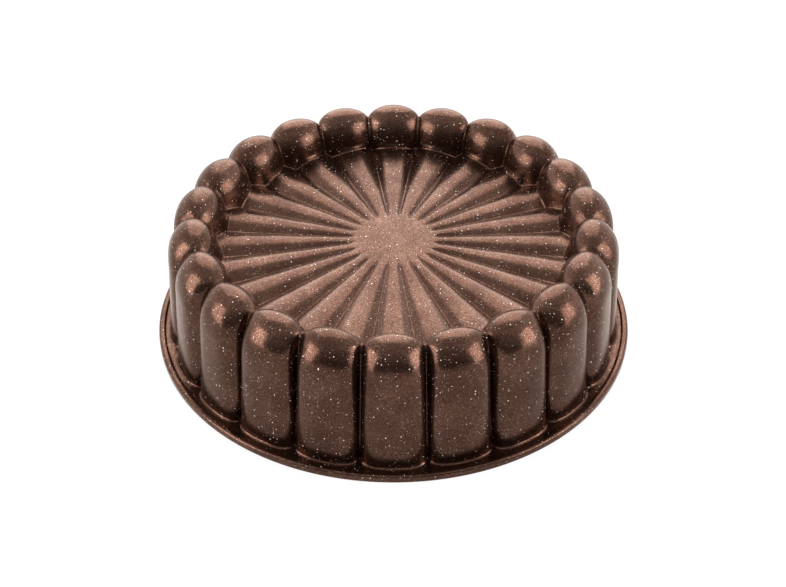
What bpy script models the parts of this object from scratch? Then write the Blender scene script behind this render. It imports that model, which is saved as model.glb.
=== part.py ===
"""Segmented cake mould: one die-cast shell, modelled mouth down as it stands on its rim.

A ring of rounded lobes surrounds a sunken floor of petals, and a flat flange with a thicker
edge runs round the mouth. The shell is the outer form less the form of the cake: each of the
two is a turned ring joined to a turned floor, fluted all round by one rule.
Metres, +Z up, the origin at the centre of the rim's underside.
"""

from math import atan2, cos, hypot, pi, sin, sqrt

import bmesh
import bpy
from mathutils import Matrix, Vector

OBJECT_NAME = "segmented_cake_mould"

# Rim and flange
RIM_RADIUS = 0.1400
FLANGE_WIDTH = 0.0074
FLANGE_THICKNESS = 0.0030
RIM_EDGE_WIDTH = 0.0024
RIM_EDGE_RISE = 0.0013
RIM_EDGE_ROUNDING = 0.0008

# Shell and its ring of lobes
MOULD_HEIGHT = 0.0768
WALL = 0.0030
LOBE_COUNT = 22
RING_WIDTH = 0.0339
OUTER_WALL_LEAN = 0.0030
INNER_WALL_LEAN = 0.0004
CROWN_HEIGHT = 0.0240
CROWN_APEX_INSET = 0.0188
CROWN_SQUARENESS = 2.25
CREASE_SQUARENESS = 2.0

# How round the lobes are: the angle that half a lobe's arc spans, in radians
FOOT_ARC = 0.90
SHOULDER_ARC = 1.08
CROWN_ARC = 1.35
INNER_ARC = 1.00

# How deep the creases between the lobes are
CREASE_AT_FLANGE = 0.0074
CREASE_AT_SHOULDER = 0.0142
CREASE_AT_CROWN = 0.0062
CREASE_AT_INNER_SHOULDER = 0.0052
CREASE_AT_FLOOR = 0.0054
CREASE_APEX_SHARE = 0.16
CREASE_WALL = 0.0032

# Sunken floor with its petals
FLOOR_SINK = 0.0204
PETAL_COUNT = 24
PETAL_ARC = 0.75
PETAL_NOSE = 0.0070
GROOVE_DEPTH = 0.0044
HUB_RADIUS = 0.0220

# Facets
OUTER_COLUMNS = 8
CAKE_COLUMNS = 6
PETAL_COLUMNS = 6
CAKE_PETAL_COLUMNS = 4
CROWN_STEPS = 4
EDGE_STEPS = 3

# How far the forms run past each other before they are joined or cut
OVERRUN = 0.0050
NECK_OVERLAP = 0.0010
WELD_DISTANCE = 0.000001
SMOOTH_ANGLE = 0.6
SHELL_COLOUR = (0.16, 0.085, 0.060, 1.0)

LOBE_FOOT_RADIUS = RIM_RADIUS - FLANGE_WIDTH
INNER_FOOT_RADIUS = LOBE_FOOT_RADIUS - RING_WIDTH
SHOULDER_HEIGHT = MOULD_HEIGHT - CROWN_HEIGHT
FLOOR_HEIGHT = MOULD_HEIGHT - FLOOR_SINK
GROOVE_FLOOR_HEIGHT = FLOOR_HEIGHT - GROOVE_DEPTH

# Where the ring is narrowest: its crease lines at shoulder height, and the middle between them
SHOULDER_RADIUS = LOBE_FOOT_RADIUS - OUTER_WALL_LEAN
INNER_SHOULDER_RADIUS = INNER_FOOT_RADIUS + INNER_WALL_LEAN
NECK_OUTSIDE = SHOULDER_RADIUS - CREASE_AT_SHOULDER
NECK_INSIDE = INNER_SHOULDER_RADIUS + CREASE_AT_INNER_SHOULDER
NECK_RADIUS = (NECK_OUTSIDE + NECK_INSIDE) / 2


def clear_scene():
    for old in list(bpy.data.objects):
        bpy.data.objects.remove(old, do_unlink=True)


def new_collection(name):
    collection = bpy.data.collections.new(name)
    bpy.context.scene.collection.children.link(collection)
    return collection


def shell_material():
    """Bronze-brown non-stick coating over cast metal."""
    material = bpy.data.materials.new("bronze_coating")
    material.use_nodes = True
    shader = material.node_tree.nodes["Principled BSDF"]
    shader.inputs["Base Color"].default_value = SHELL_COLOUR
    shader.inputs["Metallic"].default_value = 0.6
    shader.inputs["Roughness"].default_value = 0.35
    material.diffuse_color = SHELL_COLOUR
    return material


def flute(share, arc):
    """0 on a flute's crest and 1 in its crease, as the sagitta of a round arc grows."""
    across = share * sin(arc)
    return (1 - sqrt(1 - across * across)) / (1 - cos(arc))


def quarter(outer, apex, squareness):
    """Squarish quarter arch from a wall's top end to the apex, without its first point."""
    points = []
    for step in range(1, CROWN_STEPS + 1):
        turn = pi / 2 * step / CROWN_STEPS
        across = max(cos(turn), 0.0) ** (2 / squareness)
        up = sin(turn) ** (2 / squareness)
        radius = apex[0] + (outer[0] - apex[0]) * across
        height = outer[1] + (apex[1] - outer[1]) * up
        points.append((radius, height))
    return points


def ring_line(foot, shoulder, apex, inner_shoulder, inner_foot, squareness):
    """Section line of the ring: up the outer wall, over the crown and down the inner wall."""
    line = [foot, shoulder]
    line += quarter(shoulder, apex, squareness)
    line += quarter(inner_shoulder, apex, squareness)[-2::-1]
    line += [inner_shoulder, inner_foot]
    return line


def ring_arcs():
    """How round the lobes are at each point of the ring's section line."""
    arcs = [FOOT_ARC]
    for step in range(CROWN_STEPS + 1):
        arcs.append(SHOULDER_ARC + (CROWN_ARC - SHOULDER_ARC) * step / CROWN_STEPS)
    for step in range(1, CROWN_STEPS + 1):
        arcs.append(CROWN_ARC + (INNER_ARC - CROWN_ARC) * step / CROWN_STEPS)
    return arcs + [INNER_ARC]


def ring_stations(inset, crease_inset, foot_height, closing_radius):
    """Section of the ring on a crest and in a crease, drawn in by the wall for the cake's form.

    Below the floor and the flange it closes straight down, where they cover it.
    """
    inner_foot_height = GROOVE_FLOOR_HEIGHT - WALL - 2 * OVERRUN
    neck_outside = NECK_OUTSIDE - crease_inset
    neck_inside = NECK_INSIDE + crease_inset
    crease_apex = neck_outside - CREASE_APEX_SHARE * (neck_outside - neck_inside)
    crest = ring_line(
        (LOBE_FOOT_RADIUS - inset, foot_height),
        (SHOULDER_RADIUS - inset, SHOULDER_HEIGHT),
        (LOBE_FOOT_RADIUS - CROWN_APEX_INSET, MOULD_HEIGHT - inset),
        (INNER_SHOULDER_RADIUS + inset, SHOULDER_HEIGHT),
        (INNER_FOOT_RADIUS + inset, inner_foot_height),
        CROWN_SQUARENESS,
    )
    crease = ring_line(
        (LOBE_FOOT_RADIUS - CREASE_AT_FLANGE - crease_inset, foot_height),
        (neck_outside, SHOULDER_HEIGHT),
        (crease_apex, MOULD_HEIGHT - CREASE_AT_CROWN - crease_inset),
        (neck_inside, SHOULDER_HEIGHT),
        (INNER_FOOT_RADIUS + CREASE_AT_FLOOR + crease_inset, inner_foot_height),
        CREASE_SQUARENESS,
    )
    stations = list(zip(crest, crease, ring_arcs()))
    for height in (inner_foot_height, foot_height):
        closing = (closing_radius, height)
        stations.append((closing, closing, INNER_ARC))
    return stations


def floor_stations(inset, reach, base_height):
    """Section of the petal floor on a petal's crest and in a groove, closed by its underside."""
    top = FLOOR_HEIGHT - inset
    flat = [(0.0, top), (HUB_RADIUS, top)]
    stations = [(point, point, PETAL_ARC) for point in flat]
    for radius in (HUB_RADIUS + PETAL_NOSE, reach):
        drop = GROOVE_DEPTH * radius / INNER_FOOT_RADIUS
        stations.append(((radius, top), (radius, top - drop), PETAL_ARC))
    underside = [(reach, base_height), (0.0, base_height)]
    stations += [(point, point, PETAL_ARC) for point in underside]
    return stations


def fluted_turning(name, stations, flutes, columns, closed):
    """Turn a section round Z, then draw each point from its crest towards its crease.

    A point carries its way to the crease, out and up, and the arc of the flute there.
    """
    mesh = bpy.data.meshes.new(name)
    work = bmesh.new()
    shift = work.verts.layers.float_vector.new("towards_crease")
    verts = []
    for crest, crease, arc in stations:
        vert = work.verts.new((0.0, -crest[0], crest[1]))
        vert[shift] = Vector((crease[0] - crest[0], crease[1] - crest[1], arc))
        verts.append(vert)
    edges = [work.edges.new(pair) for pair in zip(verts, verts[1:])]
    if closed:
        edges.append(work.edges.new((verts[-1], verts[0])))
    bmesh.ops.spin(
        work, geom=verts + edges, cent=(0, 0, 0), axis=(0, 0, 1), dvec=(0, 0, 0),
        angle=2 * pi, space=Matrix.Identity(4), steps=flutes * columns,
        use_merge=True, use_normal_flip=False, use_duplicate=False,
    )
    pitch = 2 * pi / flutes
    for vert in work.verts:
        radius = hypot(vert.co.x, vert.co.y)
        angle = atan2(vert.co.x, -vert.co.y)
        share = min(1.0, abs(angle / pitch - round(angle / pitch)) * 2)
        amount = flute(share, vert[shift].z)
        radius += vert[shift].x * amount
        height = vert.co.z + vert[shift].y * amount
        vert.co = (radius * sin(angle), -radius * cos(angle), height)
    bmesh.ops.remove_doubles(work, verts=work.verts, dist=WELD_DISTANCE)
    bmesh.ops.recalc_face_normals(work, faces=work.faces)
    work.to_mesh(mesh)
    work.free()
    return bpy.data.objects.new(name, mesh)


def lobed_ring(name, inset, crease_inset, foot_height, closing_radius, columns):
    stations = ring_stations(inset, crease_inset, foot_height, closing_radius)
    return fluted_turning(name, stations, LOBE_COUNT, columns, closed=True)


def petal_floor(name, inset, reach, base_height, columns):
    stations = floor_stations(inset, reach, base_height)
    return fluted_turning(name, stations, PETAL_COUNT, columns, closed=False)


def flange(name):
    """Flat disc with a thicker edge, whose outer top corner is rounded."""
    edge_top = FLANGE_THICKNESS + RIM_EDGE_RISE
    edge_inside = RIM_RADIUS - RIM_EDGE_WIDTH
    line = [(0.0, FLANGE_THICKNESS), (edge_inside - RIM_EDGE_RISE, FLANGE_THICKNESS)]
    line.append((edge_inside, edge_top))
    for step in range(EDGE_STEPS + 1):
        turn = pi / 2 * step / EDGE_STEPS
        radius = RIM_RADIUS - RIM_EDGE_ROUNDING * (1 - sin(turn))
        height = edge_top - RIM_EDGE_ROUNDING * (1 - cos(turn))
        line.append((radius, height))
    line += [(RIM_RADIUS, 0.0), (0.0, 0.0)]
    stations = [(point, point, FOOT_ARC) for point in line]
    return fluted_turning(name, stations, LOBE_COUNT, CAKE_COLUMNS, closed=False)


def boolean(target, tool, operation):
    modifier = target.modifiers.new(operation.lower() + "_" + tool.name, "BOOLEAN")
    modifier.operation = operation
    modifier.solver = "EXACT"
    modifier.object = tool


def as_guide(part, collection):
    collection.objects.link(part)
    part.hide_render = True
    part.display_type = "WIRE"


def build():
    clear_scene()
    parts = new_collection(OBJECT_NAME)
    guides = new_collection("cutters")

    # All of the forms meet inside the neck, the cake's two with an overlap there
    foot = FLANGE_THICKNESS / 2
    underside = GROOVE_FLOOR_HEIGHT - WALL - OVERRUN
    short = NECK_RADIUS - NECK_OVERLAP
    far = NECK_RADIUS + NECK_OVERLAP
    shell = lobed_ring("mould_casting", 0.0, 0.0, foot, NECK_RADIUS, OUTER_COLUMNS)
    floor = petal_floor("floor_form", 0.0, short, underside, PETAL_COLUMNS)
    rim = flange("flange_form")
    cake_ring = lobed_ring("cake_ring", WALL, CREASE_WALL, -OVERRUN, short, CAKE_COLUMNS)
    cake_floor = petal_floor("cake_floor", WALL, far, -OVERRUN, CAKE_PETAL_COLUMNS)

    parts.objects.link(shell)
    for guide in (floor, rim, cake_ring, cake_floor):
        as_guide(guide, guides)
    boolean(shell, floor, "UNION")
    boolean(shell, rim, "UNION")
    boolean(shell, cake_ring, "DIFFERENCE")
    boolean(shell, cake_floor, "DIFFERENCE")

    shell.data.materials.append(shell_material())
    shell.data.shade_smooth()
    shell.data.set_sharp_from_angle(angle=SMOOTH_ANGLE)


build()
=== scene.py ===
"""Segmented cake mould: its cast surface, its speckled bronze coating and the studio round it."""

from math import asin, cos, degrees, pi, radians, sin

import bmesh
import bpy
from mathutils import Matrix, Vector


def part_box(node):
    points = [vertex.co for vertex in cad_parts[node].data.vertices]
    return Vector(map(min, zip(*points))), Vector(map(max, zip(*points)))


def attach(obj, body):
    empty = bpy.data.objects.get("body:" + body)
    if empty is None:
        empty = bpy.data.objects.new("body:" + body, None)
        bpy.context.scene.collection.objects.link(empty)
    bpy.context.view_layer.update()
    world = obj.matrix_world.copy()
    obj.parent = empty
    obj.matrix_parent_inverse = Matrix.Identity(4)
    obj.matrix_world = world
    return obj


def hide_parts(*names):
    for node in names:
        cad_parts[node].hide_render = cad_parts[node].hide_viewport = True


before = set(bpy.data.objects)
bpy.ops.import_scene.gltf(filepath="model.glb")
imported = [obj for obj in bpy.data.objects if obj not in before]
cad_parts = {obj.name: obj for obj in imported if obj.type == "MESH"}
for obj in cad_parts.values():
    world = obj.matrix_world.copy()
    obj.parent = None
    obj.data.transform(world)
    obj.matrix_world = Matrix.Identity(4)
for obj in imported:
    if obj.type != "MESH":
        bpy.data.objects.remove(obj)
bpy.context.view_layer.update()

MOULD = "mould_casting"
low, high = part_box(MOULD)

# Sizes of the casting, in metres, with the rim and the height read from the frame
RIM_RADIUS = (high[0] - low[0]) / 2
MOULD_HEIGHT = high[2]
WALL = 0.0030
FLANGE_TOP = 0.0030
LOBE_FOOT_RADIUS = RIM_RADIUS - 0.0074
INNER_FOOT_RADIUS = LOBE_FOOT_RADIUS - 0.0339
SHOULDER_HEIGHT = MOULD_HEIGHT - 0.0240
SHOULDER_RADIUS = LOBE_FOOT_RADIUS - 0.0030
INNER_SHOULDER_RADIUS = INNER_FOOT_RADIUS + 0.0004
APEX_RADIUS = LOBE_FOOT_RADIUS - 0.0188
CROWN_SQUARENESS = 2.25
FLOOR_HEIGHT = MOULD_HEIGHT - 0.0204
HUB_RADIUS = 0.0220

# How far a crease lies behind the crests beside it, and the wall between its two sides
CREASE_AT_FLANGE = 0.0074
CREASE_AT_SHOULDER = 0.0126
CREASE_AT_CROWN = 0.0062
CREASE_AT_INNER_SHOULDER = 0.0056
CREASE_AT_FLOOR = 0.0058
CREASE_WALL = 0.0032
# Where a crease is highest, as a share of the way from its outer shoulder to its inner one
CREASE_APEX_SHARE = 0.30

# Walls and feet of the lobes, through a crest and through a crease
WALLS = (WALL, CREASE_WALL)
OUTER_FEET = (LOBE_FOOT_RADIUS, LOBE_FOOT_RADIUS - CREASE_AT_FLANGE)
INNER_FEET = (INNER_FOOT_RADIUS, INNER_FOOT_RADIUS + CREASE_AT_FLOOR)

# Rim bead, from its inner toe to the rounded edge
BEAD_TOE = 0.0042
BEAD_WIDTH = 0.0030
BEAD_RISE = 0.0013
RIM_ROUNDING = 0.0014
RIM_UNDER_ROUNDING = 0.0004

# Fillets and rounded edges of the casting
CREASE_FILLET = 0.0006
GROOVE_FILLET = 0.0006
OUTER_FOOT_FILLET = 0.0016
INNER_FOOT_FILLET = 0.0012
MOUTH_ROUNDING = 0.0012
# Height above the inner foot's fillet at which the crown's arch takes over from the wall
ARCH_START = 0.0012

# Lobes, with the arc in radians that half of one turns through at each height
LOBES = 22
FOOT_ARC = 1.42
SHOULDER_ARC = 1.46
UPPER_ARC = 1.355
CROWN_ARC = 1.25
INNER_ARC = 0.75
# How square a flute is across: at 2 it is part of a circle
ROUND = 2.0
WALL_SQUARENESS = 3.2
# Petals, with the same arc, the depth of the grooves between them and the length of their rounded noses
PETALS = 24
PETAL_ARC = 0.75
GROOVE_DEPTH = 0.0044
PETAL_NOSE = 0.0070
# Stretches of the crown, from its inner side outwards: the quarters where each starts and ends, its arc
# and its squareness
QUARTERS = 4
CROWN_STRETCHES = (
    (0, 2, (INNER_ARC, CROWN_ARC), (ROUND, ROUND)),
    (2, 3, (CROWN_ARC, UPPER_ARC), (ROUND, ROUND)),
    (3, 4, (UPPER_ARC, SHOULDER_ARC), (ROUND, WALL_SQUARENESS)),
)

# Columns round the mould, a whole number for each lobe and each petal
COLUMNS = LOBES * PETALS
# How strongly the columns gather at creases and grooves
GATHER = 0.72
# Share of that gathering that the lobes have, and the petals lack, at the end of the floor and of its fillet
FLOOR_HANDOVER = 0.6
FILLET_HANDOVER = 0.8

# Rows along the section: hub, petals, lobes and rim, then those of the cake side
HUB_ROWS = 3
NOSE_ROWS = 6
PETAL_ROWS = 16
PETAL_ROWS_BEFORE_HANDOVER = 12
INNER_FOOT_ROWS = 7
INNER_WALL_ROWS = 6
CROWN_ROWS = 20
WALL_ROWS = 10
OUTER_FOOT_ROWS = 8
FLANGE_ROWS = 4
BEAD_ROWS = 8
EDGE_ROWS = 2
RIM_ROUNDING_ROWS = 7
RIM_UNDER_ROWS = 4
UNDERSIDE_ROWS = 3
MOUTH_ROWS = 5
CAKE_WALL_ROWS = 5
CAKE_CROWN_ROWS = 12
CAKE_FOOT_ROWS = 4
CAKE_FLOOR_ROWS = 12
CAKE_HUB_ROWS = 2

# Limits that keep the flute law steady
TINY = 1e-6
LEAST_SOFTNESS = 0.001
MOST_SOFTNESS = 0.35
# What a smooth least takes off where its two terms are equal, as a share of its width
MEETING_LOSS = 0.25
# Radius up to which the petals' grooves deepen, as a share of the floor's
GROOVE_REACH = 1.1
WELD_DISTANCE = 1e-6

CIRCLE = 2 * pi
WHITE = (1.0, 1.0, 1.0, 1.0)


def operator(operation):
    """Two methods that add a Math node: for a value left of the operator and for one right of it."""

    def straight(self, other):
        return self.maths(operation, self, other)

    def reflected(self, other):
        return self.maths(operation, other, self)

    return straight, reflected


class Value:
    """A number in a node tree: arithmetic on it adds Math nodes."""

    def __init__(self, tree, socket):
        self.tree = tree
        self.socket = socket

    def maths(self, operation, *terms):
        return self.tree.add("ShaderNodeMath", {"operation": operation}, dict(enumerate(terms)))

    __add__, __radd__ = operator("ADD")
    __sub__, __rsub__ = operator("SUBTRACT")
    __mul__, __rmul__ = operator("MULTIPLY")
    __truediv__, __rtruediv__ = operator("DIVIDE")
    __pow__, __rpow__ = operator("POWER")

    def least(self, other):
        return self.maths("MINIMUM", self, other)

    def most(self, other):
        return self.maths("MAXIMUM", self, other)

    def root(self):
        return self.maths("SQRT", self)

    def size(self):
        return self.maths("ABSOLUTE", self)

    def nearest_whole(self):
        return self.maths("ROUND", self)

    def sine(self):
        return self.maths("SINE", self)

    def cosine(self):
        return self.maths("COSINE", self)


class Tree:
    """Adds nodes to a node tree, with their settings first and their sockets after."""

    def __init__(self, node_tree):
        self.node_tree = node_tree

    def node(self, kind, settings=None, sockets=None):
        made = self.node_tree.nodes.new(kind)
        for name, value in (settings or {}).items():
            if name == "stops":
                set_stops(made.color_ramp, value)
            else:
                setattr(made, name, value)
        for name, value in (sockets or {}).items():
            self.give(made.inputs[name], value)
        return made

    def give(self, target, value):
        """Links a value or a socket to a node's socket, or sets a plain number or colour there."""
        if isinstance(value, Value):
            value = value.socket
        if isinstance(value, bpy.types.NodeSocket):
            self.node_tree.links.new(value, target)
        else:
            target.default_value = value

    def add(self, kind, settings=None, sockets=None, output=0):
        return Value(self, self.node(kind, settings, sockets).outputs[output])

    def split(self, vector):
        parts = self.node("ShaderNodeSeparateXYZ", None, {0: vector})
        return [Value(self, part) for part in parts.outputs]

    def join(self, x, y, z):
        return self.add("ShaderNodeCombineXYZ", None, {0: x, 1: y, 2: z})


def set_stops(ramp, stops):
    while len(ramp.elements) < len(stops):
        ramp.elements.new(0.5)
    for element, (place, colour) in zip(ramp.elements, stops):
        element.position = place
        element.color = colour


def link_object(made):
    bpy.context.scene.collection.objects.link(made)
    return made


# Section of the casting, drawn once through a crest and once through a crease

def even(start, end, steps):
    """Points from start to end, without start itself."""
    return [
        tuple(a + (b - a) * step / steps for a, b in zip(start, end))
        for step in range(1, steps + 1)
    ]


def corner(centre, radius, start, end, steps):
    """Arc from one angle to another, both in degrees, without its first point."""
    points = []
    for step in range(1, steps + 1):
        turn = radians(start + (end - start) * step / steps)
        points.append((centre[0] + radius * cos(turn), centre[1] + radius * sin(turn)))
    return points


def arch_point(foot, apex, degree, power):
    """Point of a squarish quarter arch, from its foot at 0 degrees to its apex at 90."""
    turn = radians(degree)
    across = max(cos(turn), 0.0) ** power
    up = max(sin(turn), 0.0) ** power
    return apex[0] + (foot[0] - apex[0]) * across, foot[1] + (apex[1] - foot[1]) * up


def crown(outer, apex, inner, rows, start, squareness):
    """Squarish arch from the inner side over the apex to the outer shoulder.

    On the inner side, what lies below the height of start is left to the wall.
    """
    power = 2 / squareness
    share = (start - inner[1]) / (apex[1] - inner[1])
    first = degrees(asin(share ** (1 / power)))
    rising = [first + (90 - first) * row / rows for row in range(rows + 1)]
    falling = [90 - 90 * row / rows for row in range(1, rows + 1)]
    inside = [arch_point(inner, apex, degree, power) for degree in rising]
    outside = [arch_point(outer, apex, degree, power) for degree in falling]
    return inside + outside


def crowns(walls, rows, start):
    """Crown lines through a crest and a crease, as far inside the outer skin as the walls say."""
    wall, crease_wall = walls
    outer = (SHOULDER_RADIUS - wall, SHOULDER_HEIGHT)
    inner = (INNER_SHOULDER_RADIUS + wall, SHOULDER_HEIGHT)
    apex = (APEX_RADIUS, MOULD_HEIGHT - wall)
    crease_outer = (SHOULDER_RADIUS - CREASE_AT_SHOULDER - crease_wall, SHOULDER_HEIGHT)
    crease_inner = (INNER_SHOULDER_RADIUS + CREASE_AT_INNER_SHOULDER + crease_wall, SHOULDER_HEIGHT)
    crease_apex = (
        crease_outer[0] - CREASE_APEX_SHARE * (crease_outer[0] - crease_inner[0]),
        MOULD_HEIGHT - CREASE_AT_CROWN - crease_wall,
    )
    crest_line = crown(outer, apex, inner, rows, start, CROWN_SQUARENESS)
    crease_line = crown(crease_outer, crease_apex, crease_inner, rows, start, ROUND)
    return crest_line, crease_line


ROW_BENDS = ("petal", "lobe_gather", "petal_gather", "arc", "squareness")


class Section:
    """Matching rows of points on a crest and in a crease, with what bends each row."""

    def __init__(self):
        self.rows = []

    def run(self, lines, petal, lobe_gather, petal_gather, arc=INNER_ARC, squareness=ROUND):
        """Adds the rows of a crest line and a crease line, and what bends them.

        A pair of numbers grades evenly from the first row to the last.
        """
        crest_line, crease_line = lines
        count = len(crest_line)
        for place, (on_crest, in_crease) in enumerate(zip(crest_line, crease_line), start=1):
            share = place / count
            grades = []
            for grade in (petal, lobe_gather, petal_gather, arc, squareness):
                first, last = grade if isinstance(grade, tuple) else (grade, grade)
                grades.append(first + (last - first) * share)
            self.rows.append((on_crest, in_crease, *grades))

    def both(self, points, petal, lobe_gather, petal_gather):
        """Adds rows that a crest and a crease share."""
        self.run((points, points), petal, lobe_gather, petal_gather)


def add_crown(section, lines, outwards):
    """Crown rows from the inner side outwards, or else inwards: round, but squarer near the wall."""
    count = len(lines[0])
    stretches = CROWN_STRETCHES
    if not outwards:
        lines = [line[::-1] for line in lines]
        stretches = [
            (QUARTERS - last, QUARTERS - first, arc[::-1], squareness[::-1])
            for first, last, arc, squareness in reversed(CROWN_STRETCHES)
        ]
    for first, last, arc, squareness in stretches:
        stretch = slice(count * first // QUARTERS, count * last // QUARTERS)
        section.run([line[stretch] for line in lines], 0, 1, 0, arc, squareness)


def add_petal_floor(section):
    """From the middle of the hub over the petals and up the fillet at the lobes' inner foot."""
    middle = (0.0, FLOOR_HEIGHT)
    hub_edge = (HUB_RADIUS, FLOOR_HEIGHT)
    nose_end = (HUB_RADIUS + PETAL_NOSE, FLOOR_HEIGHT)
    section.both([middle], 1, 0, 1)
    section.both(even(middle, hub_edge, HUB_ROWS), 1, 0, 1)
    section.both(even(hub_edge, nose_end, NOSE_ROWS), 1, 0, 1)

    floor_ends = [foot - INNER_FOOT_FILLET for foot in INNER_FEET]
    floors = [even(nose_end, (end, FLOOR_HEIGHT), PETAL_ROWS) for end in floor_ends]
    handover = PETAL_ROWS_BEFORE_HANDOVER
    section.run([line[:handover] for line in floors], 1, 0, 1)
    section.run(
        [line[handover:] for line in floors],
        1, (0, FLOOR_HANDOVER), (1, 1 - FLOOR_HANDOVER),
    )
    rise = FLOOR_HEIGHT + INNER_FOOT_FILLET
    section.run(
        [corner((end, rise), INNER_FOOT_FILLET, -90, 0, INNER_FOOT_ROWS) for end in floor_ends],
        1, (FLOOR_HANDOVER, FILLET_HANDOVER), (1 - FLOOR_HANDOVER, 1 - FILLET_HANDOVER),
    )


def add_lobes(section):
    """From the inner foot over the crown and down the wall to the rim's bead."""
    rise = FLOOR_HEIGHT + INNER_FOOT_FILLET
    lines = crowns((0.0, 0.0), CROWN_ROWS, rise + ARCH_START)
    section.run(
        [even((foot, rise), line[0], INNER_WALL_ROWS)[:-1] for foot, line in zip(INNER_FEET, lines)],
        (1, 1 / INNER_WALL_ROWS), (FILLET_HANDOVER, 1), (1 - FILLET_HANDOVER, 0),
    )
    add_crown(section, lines, outwards=True)

    fillet = OUTER_FOOT_FILLET
    rise = FLANGE_TOP + fillet
    section.run(
        [even(line[-1], (foot, rise), WALL_ROWS) for foot, line in zip(OUTER_FEET, lines)],
        0, 1, 0, (SHOULDER_ARC, FOOT_ARC), WALL_SQUARENESS,
    )
    section.run(
        [corner((foot + fillet, rise), fillet, 180, 270, OUTER_FOOT_ROWS) for foot in OUTER_FEET],
        0, 1, 0, FOOT_ARC, WALL_SQUARENESS,
    )
    toe = (RIM_RADIUS - BEAD_TOE, FLANGE_TOP)
    section.run(
        [even((foot + fillet, FLANGE_TOP), toe, FLANGE_ROWS) for foot in OUTER_FEET],
        0, (1, 0), 0, FOOT_ARC, WALL_SQUARENESS,
    )


def add_rim(section):
    """Bead along the flange's edge, the rim's face and its rounded lower edge."""
    line = []
    for row in range(1, BEAD_ROWS + 1):
        share = row / BEAD_ROWS
        radius = RIM_RADIUS - BEAD_TOE + (BEAD_TOE - BEAD_WIDTH) * share
        line.append((radius, FLANGE_TOP + BEAD_RISE * (1 - cos(pi * share)) / 2))
    edge = RIM_RADIUS - RIM_ROUNDING
    bead_top = FLANGE_TOP + BEAD_RISE
    line += even(line[-1], (edge, bead_top), EDGE_ROWS)
    line += corner((edge, bead_top - RIM_ROUNDING), RIM_ROUNDING, 90, 0, RIM_ROUNDING_ROWS)
    under = (RIM_RADIUS - RIM_UNDER_ROUNDING, RIM_UNDER_ROUNDING)
    line += even(line[-1], (RIM_RADIUS, RIM_UNDER_ROUNDING), EDGE_ROWS)
    line += corner(under, RIM_UNDER_ROUNDING, 0, -90, RIM_UNDER_ROWS)
    section.both(line, 0, 0, 0)


def add_cake_side(section):
    """Underside of the flange, the mouth and the inside of the lobes and the floor."""
    turn = MOUTH_ROUNDING
    mouths = [foot - wall for foot, wall in zip(OUTER_FEET, WALLS)]
    under = (RIM_RADIUS - RIM_UNDER_ROUNDING, 0.0)
    section.run(
        [even(under, (mouth + turn, 0.0), UNDERSIDE_ROWS) for mouth in mouths],
        0, (0, 1), 0,
    )
    section.run(
        [corner((mouth + turn, turn), turn, 270, 180, MOUTH_ROWS) for mouth in mouths],
        0, 1, 0, FOOT_ARC, WALL_SQUARENESS,
    )
    foot_height = FLOOR_HEIGHT - WALL
    lines = crowns(WALLS, CAKE_CROWN_ROWS, foot_height + ARCH_START)
    section.run(
        [even((mouth, turn), line[-1], CAKE_WALL_ROWS)[:-1] for mouth, line in zip(mouths, lines)],
        0, 1, 0, (FOOT_ARC, SHOULDER_ARC), WALL_SQUARENESS,
    )
    add_crown(section, lines, outwards=False)

    feet = [foot + wall for foot, wall in zip(INNER_FEET, WALLS)]
    section.run(
        [even(line[0], (foot, foot_height), CAKE_FOOT_ROWS) for foot, line in zip(feet, lines)],
        (0, 1), (1, FLOOR_HANDOVER), (0, 1 - FLOOR_HANDOVER),
    )
    floor_edges = [(foot - turn, foot_height) for foot in feet]
    section.run([[edge] for edge in floor_edges], 1, FLOOR_HANDOVER, 1 - FLOOR_HANDOVER)
    hub_edge = (HUB_RADIUS, foot_height)
    section.run(
        [even(edge, hub_edge, CAKE_FLOOR_ROWS) for edge in floor_edges],
        1, (FLOOR_HANDOVER, 0), (1 - FLOOR_HANDOVER, 1),
    )
    section.both(even(hub_edge, (0.0, foot_height), CAKE_HUB_ROWS), 1, 0, 1)


def section_guide(section):
    """The crest line as a mesh of points, which carries the crease line and the bends."""
    mesh = bpy.data.meshes.new("mould_section")
    mesh.from_pydata([(crest[0], 0.0, crest[1]) for crest, *_ in section.rows], [], [])
    mesh.attributes.new("crease", "FLOAT_VECTOR", "POINT")
    for name in ROW_BENDS:
        mesh.attributes.new(name, "FLOAT", "POINT")
    for place, (_, in_crease, *bends) in enumerate(section.rows):
        crease_point = (in_crease[0], 0.0, in_crease[1])
        mesh.attributes["crease"].data[place].vector = crease_point
        for name, bend in zip(ROW_BENDS, bends):
            mesh.attributes[name].data[place].value = bend
    return link_object(bpy.data.objects.new("mould_section", mesh))


# Rule that turns the section into the fluted shell

SHELL_INPUTS = {
    "Columns": ("NodeSocketInt", COLUMNS),
    "Lobes": ("NodeSocketInt", LOBES),
    "Petals": ("NodeSocketInt", PETALS),
    "Gather": ("NodeSocketFloat", GATHER),
    "Crease Fillet": ("NodeSocketFloat", CREASE_FILLET),
    "Groove Fillet": ("NodeSocketFloat", GROOVE_FILLET),
    "Petal Arc": ("NodeSocketFloat", PETAL_ARC),
    "Groove Depth": ("NodeSocketFloat", GROOVE_DEPTH),
    "Hub Radius": ("NodeSocketFloat", HUB_RADIUS),
    "Petal Nose": ("NodeSocketFloat", PETAL_NOSE),
    "Floor Radius": ("NodeSocketFloat", INNER_FOOT_RADIUS),
}


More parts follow.
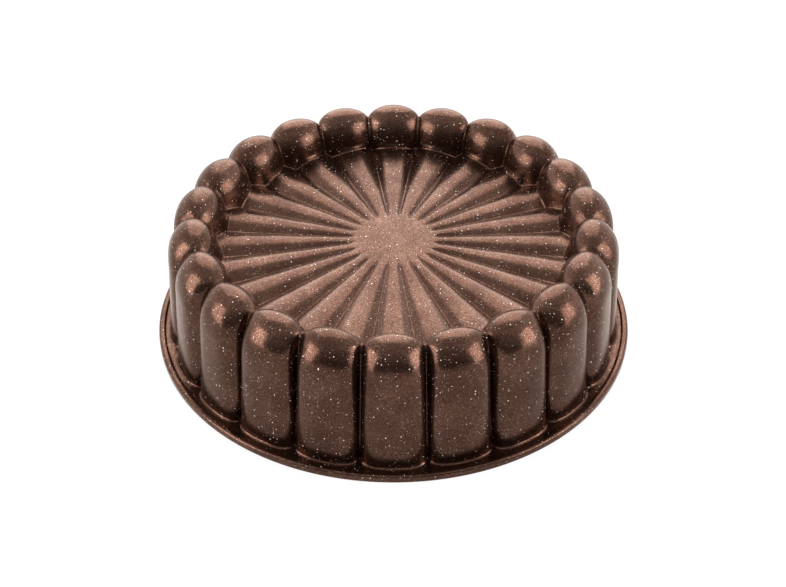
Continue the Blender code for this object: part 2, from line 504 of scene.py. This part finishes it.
class Flute:
    """Flute whose half width turns through an arc of a circle or, past 2, of a squarer oval."""

    def __init__(self, arc, squareness):
        self.sine = arc.sine()
        self.squareness = squareness
        self.edge = self.level(self.sine)

    def level(self, across):
        """Height of the oval above its middle, as a share of its half height."""
        inside = (1 - across ** self.squareness).most(0.0)
        return inside ** (1 / self.squareness)

    def drop(self, share):
        """0 on the flute's crest and 1 at its edge, as the arc falls away."""
        return (1 - self.level(share * self.sine)) / (1 - self.edge)

    def filleted(self, share, softness):
        """Flute that blends into its neighbour over a fillet, by a smooth least of the two."""
        own = self.drop(share)
        neighbour = self.drop(2 - share)
        near = (softness - (own - neighbour).size()).most(0.0) / softness
        return own.least(neighbour) - near * near * softness * MEETING_LOSS

    def softness(self, radius, depth, half_width):
        """Width of the smooth least that gives a fillet of this radius, as a share of the depth."""
        steepness = self.sine ** self.squareness / self.edge ** (self.squareness - 1)
        slope = depth * steepness / (1 - self.edge) / half_width
        loss = radius * ((slope * slope + 1).root() - 1)
        softness = loss / MEETING_LOSS / depth.most(TINY)
        return softness.least(MOST_SOFTNESS).most(LEAST_SOFTNESS)


def flute_share(turn, count):
    """0 on the nearest crest and 1 halfway to the next, from the turn in whole circles."""
    flutes = turn * count
    return (flutes - flutes.nearest_whole()).size() * 2


def row_reader(tree, section, row):
    """Function that reads what the section's point of a row carries or, with no name, its place."""

    def read(name="", kind="FLOAT"):
        if name:
            held = tree.add("GeometryNodeInputNamedAttribute", {"data_type": kind}, {"Name": name})
        else:
            held = tree.add("GeometryNodeInputPosition")
        return tree.add(
            "GeometryNodeSampleIndex", {"data_type": kind, "domain": "POINT"},
            {"Geometry": section, "Value": held, "Index": row},
        )

    return read


def gathered_turn(even_turn, read, size):
    """Turn of each column in whole circles, drawn towards the creases and the petals' grooves."""
    turn = even_turn
    for name, count in (("lobe_gather", size["Lobes"]), ("petal_gather", size["Petals"])):
        wave = (even_turn * count * CIRCLE).sine()
        turn = turn + read(name) * size["Gather"] * wave / (count * CIRCLE)
    return turn


def lobed_section(tree, turn, read, size):
    """Radius and height of each row, between its crest and its crease by the lobes' flute."""
    crest_radius, _, crest_height = tree.split(read(kind="FLOAT_VECTOR"))
    crease_radius, _, crease_height = tree.split(read("crease", "FLOAT_VECTOR"))
    radius_step = crease_radius - crest_radius
    height_step = crease_height - crest_height
    depth = (radius_step * radius_step + height_step * height_step).root().most(TINY)
    half_lobe = (crest_radius * pi / size["Lobes"]).most(TINY)
    flute = Flute(read("arc"), read("squareness"))
    softness = flute.softness(size["Crease Fillet"], depth, half_lobe)
    lobe = flute.filleted(flute_share(turn, size["Lobes"]), softness)
    return crest_radius + radius_step * lobe, crest_height + height_step * lobe


def petal_fall(turn, radius, size):
    """How far a petal's surface lies below its crest, deeper outwards and nothing on the hub."""
    cone = (radius / size["Floor Radius"]).least(GROOVE_REACH)
    nose = ((radius - size["Hub Radius"]) / size["Petal Nose"]).most(0.0).least(1.0)
    groove = size["Groove Depth"] * cone * nose * (2 - nose)
    half_petal = (radius * pi / size["Petals"]).most(TINY)
    flute = Flute(size["Petal Arc"], ROUND)
    softness = flute.softness(size["Groove Fillet"], groove, half_petal)
    return groove * flute.filleted(flute_share(turn, size["Petals"]), softness)


def declare_sockets(node_tree):
    face = node_tree.interface
    face.new_socket("Section", in_out="INPUT", socket_type="NodeSocketGeometry")
    for name, (kind, value) in SHELL_INPUTS.items():
        face.new_socket(name, in_out="INPUT", socket_type=kind).default_value = value
    face.new_socket("Coating", in_out="INPUT", socket_type="NodeSocketMaterial")
    face.new_socket("Shell", in_out="OUTPUT", socket_type="NodeSocketGeometry")


def shell_tree():
    """A sheet of columns and rows, each row of which is bent to its place on the casting."""
    node_tree = bpy.data.node_groups.new("fluted_shell", "GeometryNodeTree")
    declare_sockets(node_tree)
    tree = Tree(node_tree)
    given = tree.node("NodeGroupInput")
    size = {name: Value(tree, given.outputs[name]) for name in SHELL_INPUTS}
    section = given.outputs["Section"]

    rows = tree.add("GeometryNodeAttributeDomainSize", None, {"Geometry": section})
    sheet = tree.node(
        "GeometryNodeMeshGrid", None,
        {"Size X": 1.0, "Size Y": 1.0, "Vertices X": size["Columns"] + 1, "Vertices Y": rows},
    )
    across, along, _ = tree.split(tree.add("GeometryNodeInputPosition"))
    row = ((along + 0.5) * (rows - 1)).nearest_whole()
    read = row_reader(tree, section, row)
    turn = gathered_turn(across + 0.5, read, size)
    radius, height = lobed_section(tree, turn, read, size)
    height = height - read("petal") * petal_fall(turn, radius, size)
    angle = turn * CIRCLE
    place = tree.join(radius * angle.sine(), radius * angle.cosine() * -1, height)

    shaped = tree.add(
        "GeometryNodeSetPosition", None, {"Geometry": sheet.outputs["Mesh"], "Position": place}
    )
    welded = tree.add(
        "GeometryNodeMergeByDistance", None, {"Geometry": shaped, "Distance": WELD_DISTANCE}
    )
    smooth = tree.add("GeometryNodeSetShadeSmooth", None, {"Geometry": welded})
    whole = tree.add("GeometryNodeRealizeInstances", None, {"Geometry": smooth})
    coated = tree.add(
        "GeometryNodeSetMaterial", None,
        {"Geometry": whole, "Material": given.outputs["Coating"]},
    )
    tree.node("NodeGroupOutput", None, {"Shell": coated})
    return node_tree


def make_shell(coating):
    """Turns the section by the tree's rule and keeps the result as a plain mesh."""
    section = Section()
    add_petal_floor(section)
    add_lobes(section)
    add_rim(section)
    add_cake_side(section)
    guide = section_guide(section)
    node_tree = shell_tree()
    rule = guide.modifiers.new("fluted_shell", "NODES")
    rule.node_group = node_tree
    for item in node_tree.interface.items_tree:
        if item.in_out == "INPUT" and item.name == "Coating":
            rule[item.identifier] = coating
        elif item.in_out == "INPUT" and item.name in SHELL_INPUTS:
            rule[item.identifier] = SHELL_INPUTS[item.name][1]
    view = bpy.context.evaluated_depsgraph_get()
    mesh = bpy.data.meshes.new_from_object(guide.evaluated_get(view))
    bpy.data.objects.remove(guide, do_unlink=True)
    mesh.name = "coated_shell"
    face_outwards(mesh)
    return link_object(bpy.data.objects.new("coated_shell", mesh))


def face_outwards(mesh):
    work = bmesh.new()
    work.from_mesh(mesh)
    if work.calc_volume(signed=True) < 0:
        bmesh.ops.reverse_faces(work, faces=work.faces)
    work.to_mesh(mesh)
    work.free()


# Coating

GRAIN_SCALE = 1800.0
GRAIN_HARSHNESS = 0.8
CLOUD_SCALE = 60.0
NOISE_DETAIL = 2.0
FLAKE_SCALE = 500.0
DUST_SCALE = 1000.0
# Largest and smallest reach of a speckle, in cells of its own pattern, and the steepness of its edge
FLAKE_REACH = (0.20, 0.02)
DUST_REACH = (0.22, -0.02)
SPECKLE_EDGE = 12
DUST_STRENGTH = 0.8
SPECKLE_COLOUR = (0.90, 0.78, 0.70, 1.0)
SPECKLE_RELIEF = 0.5
# Share of the grain and of the broad clouds in the tone, and the metal's colour along it
GRAIN_IN_TONE = 0.9
CLOUD_IN_TONE = 0.2
METAL_COLOURS = (
    (0.40, (0.024, 0.008, 0.005, 1.0)),
    (0.56, (0.066, 0.029, 0.018, 1.0)),
    (0.76, (0.205, 0.118, 0.085, 1.0)),
)
METALLIC = 0.93
SMOOTHEST = 0.16
GRAIN_IN_ROUGHNESS = 0.12
BUMP_STRENGTH = 0.20
BUMP_DISTANCE = 0.0001
SHEEN_TINT = (1.0, 0.88, 0.82, 1.0)
COAT_WEIGHT = 0.05
COAT_ROUGHNESS = 0.30


def specks(tree, place, scale, reach):
    """1 in the middle of each speckle and 0 between them, with speckles of many sizes."""
    pattern = tree.node("ShaderNodeTexVoronoi", None, {"Vector": place, "Scale": scale})
    chance, _, _ = tree.split(pattern.outputs["Color"])
    largest, smallest = reach
    radius = chance * chance * (largest - smallest) + smallest
    edge = (radius - Value(tree, pattern.outputs["Distance"])) * SPECKLE_EDGE
    return edge.most(0.0).least(1.0)


def bronze_coating():
    """Bronze-brown metal with a fine grain, under pale speckles from two patterns."""
    material = bpy.data.materials.new("bronze_coating")
    material.use_nodes = True
    tree = Tree(material.node_tree)
    place = tree.node("ShaderNodeTexCoord").outputs["Object"]
    grain = tree.add(
        "ShaderNodeTexNoise", None,
        {"Vector": place, "Scale": GRAIN_SCALE, "Detail": NOISE_DETAIL, "Roughness": GRAIN_HARSHNESS},
    )
    cloud = tree.add(
        "ShaderNodeTexNoise", None, {"Vector": place, "Scale": CLOUD_SCALE, "Detail": NOISE_DETAIL}
    )
    flakes = specks(tree, place, FLAKE_SCALE, FLAKE_REACH)
    dust = specks(tree, place, DUST_SCALE, DUST_REACH)
    speckle = flakes.most(dust * DUST_STRENGTH)
    tone = grain * GRAIN_IN_TONE + cloud * CLOUD_IN_TONE
    metal = tree.add("ShaderNodeValToRGB", {"stops": METAL_COLOURS}, {0: tone})
    colour = tree.add(
        "ShaderNodeMix", {"data_type": "RGBA"},
        {"Factor": speckle, "A": metal, "B": SPECKLE_COLOUR}, output=2,
    )
    normal = tree.add(
        "ShaderNodeBump", None,
        {"Height": grain + speckle * SPECKLE_RELIEF, "Strength": BUMP_STRENGTH, "Distance": BUMP_DISTANCE},
    )
    surface = {
        "Base Color": colour,
        "Metallic": METALLIC - speckle * METALLIC,
        "Roughness": grain * GRAIN_IN_ROUGHNESS + SMOOTHEST,
        "Normal": normal,
        "Specular Tint": SHEEN_TINT,
        "Coat Weight": COAT_WEIGHT,
        "Coat Roughness": COAT_ROUGHNESS,
    }
    shader = material.node_tree.nodes["Principled BSDF"]
    for name, value in surface.items():
        tree.give(shader.inputs[name], value)
    return material


# Studio

FLOOR_HALF = 12.0
FLOOR_COLOUR = (0.96, 0.96, 0.96, 1.0)
FLOOR_ROUGHNESS = 0.9
# Share of the floor's white that is its own, where the camera or the metal sees it
FLOOR_OWN_WHITE = 0.75
# Radiance of the dome: on the camera's side at the horizon, overhead, and what is added behind
WORLD_LOW = 0.03
WORLD_TOP = 0.95
WORLD_BEHIND = 1.7
# Depth of a direction at which the dome starts to brighten, and is brightest, from -1 in front to 1 behind
BEHIND_START = -0.70
BEHIND_FULL = 0.10
# Name, turn from the front and lift in degrees, distance, width, height, radiance
SOFT_BOXES = (
    ("back_box", 180, 37, 1.6, 1.3, 1.60, 2.8),
    ("left_box", -70, 19, 1.3, 0.80, 0.90, 5.2),
    ("right_box", 70, 19, 1.3, 0.80, 0.90, 5.2),
)


def floor_finish():
    """Pale floor, part of whose white is its own where it is seen directly or in the metal."""
    material = bpy.data.materials.new("studio_floor")
    material.use_nodes = True
    tree = Tree(material.node_tree)
    shader = material.node_tree.nodes["Principled BSDF"]
    shader.inputs["Base Color"].default_value = FLOOR_COLOUR
    shader.inputs["Roughness"].default_value = FLOOR_ROUGHNESS
    shader.inputs["Specular IOR Level"].default_value = 0.0
    path = tree.node("ShaderNodeLightPath")
    rays = ("Is Camera Ray", "Is Glossy Ray", "Is Transmission Ray")
    camera, glossy, through = (Value(tree, path.outputs[name]) for name in rays)
    seen = camera.most(glossy).most(through) * FLOOR_OWN_WHITE
    white = tree.add("ShaderNodeEmission", None, {"Color": WHITE})
    mixed = tree.add(
        "ShaderNodeMixShader", None, {0: seen, 1: shader.outputs["BSDF"], 2: white}
    )
    tree.give(material.node_tree.nodes["Material Output"].inputs["Surface"], mixed)
    return material


def make_floor():
    mesh = bpy.data.meshes.new("studio_floor")
    corners = [(-1, -1), (1, -1), (1, 1), (-1, 1)]
    mesh.from_pydata([(x * FLOOR_HALF, y * FLOOR_HALF, 0.0) for x, y in corners], [], [(0, 1, 2, 3)])
    mesh.materials.append(floor_finish())
    return link_object(bpy.data.objects.new("studio_floor", mesh))


def make_soft_box(name, around, above, distance, width, height, radiance):
    lamp = bpy.data.lights.new(name, "AREA")
    lamp.shape = "RECTANGLE"
    lamp.size = width
    lamp.size_y = height
    lamp.energy = radiance * pi * width * height
    box = bpy.data.objects.new(name, lamp)
    turn = radians(around)
    lift = radians(above)
    box.location = (
        distance * cos(lift) * sin(turn),
        -distance * cos(lift) * cos(turn),
        distance * sin(lift),
    )
    box.rotation_euler = Vector(box.location).to_track_quat("Z", "Y").to_euler()
    link_object(box)


def make_world():
    """Dome of light, brighter overhead and behind the mould than low on the camera's side."""
    world = bpy.data.worlds.new("studio")
    world.use_nodes = True
    tree = Tree(world.node_tree)
    background = world.node_tree.nodes["Background"]
    background.inputs["Color"].default_value = WHITE
    coordinates = tree.node("ShaderNodeTexCoord")
    _, depth, rise = tree.split(coordinates.outputs["Generated"])
    rise = rise.most(0.0)
    behind = tree.add(
        "ShaderNodeMapRange", {"interpolation_type": "SMOOTHSTEP"},
        {"Value": depth, "From Min": BEHIND_START, "From Max": BEHIND_FULL},
    )
    level = rise * (WORLD_TOP - WORLD_LOW) + behind * (1 - rise * rise) * WORLD_BEHIND + WORLD_LOW
    tree.give(background.inputs["Strength"], level)
    bpy.context.scene.world = world


# Camera, fitted to the photograph's frame, with what is measured there in pixels

IMAGE_WIDTH = 786
FOCAL_PIXELS = 1367.5
CENTRE_DROP_PIXELS = 5.6
CENTRE_SHIFT_PIXELS = 0.54
CAMERA_ELEVATION = radians(38.41)
CAMERA_DISTANCE = 0.819
AIM_HEIGHT = 0.0119
SENSOR_WIDTH_MM = 36.0
NEAREST_SEEN = 0.01


def make_camera():
    lens = bpy.data.cameras.new("camera")
    lens.sensor_width = SENSOR_WIDTH_MM
    lens.lens = SENSOR_WIDTH_MM * FOCAL_PIXELS / IMAGE_WIDTH
    lens.shift_x = -CENTRE_SHIFT_PIXELS / IMAGE_WIDTH
    lens.shift_y = CENTRE_DROP_PIXELS / IMAGE_WIDTH
    lens.clip_start = NEAREST_SEEN
    camera = link_object(bpy.data.objects.new("camera", lens))
    camera.location = (
        0.0,
        -CAMERA_DISTANCE * cos(CAMERA_ELEVATION),
        AIM_HEIGHT + CAMERA_DISTANCE * sin(CAMERA_ELEVATION),
    )
    camera.rotation_euler = (pi / 2 - CAMERA_ELEVATION, 0.0, 0.0)
    bpy.context.scene.camera = camera


shell = make_shell(bronze_coating())
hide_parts(MOULD)
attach(shell, "root")

make_floor()
for soft_box in SOFT_BOXES:
    make_soft_box(*soft_box)
make_world()
make_camera()
bpy.context.scene.view_settings.view_transform = "Standard"
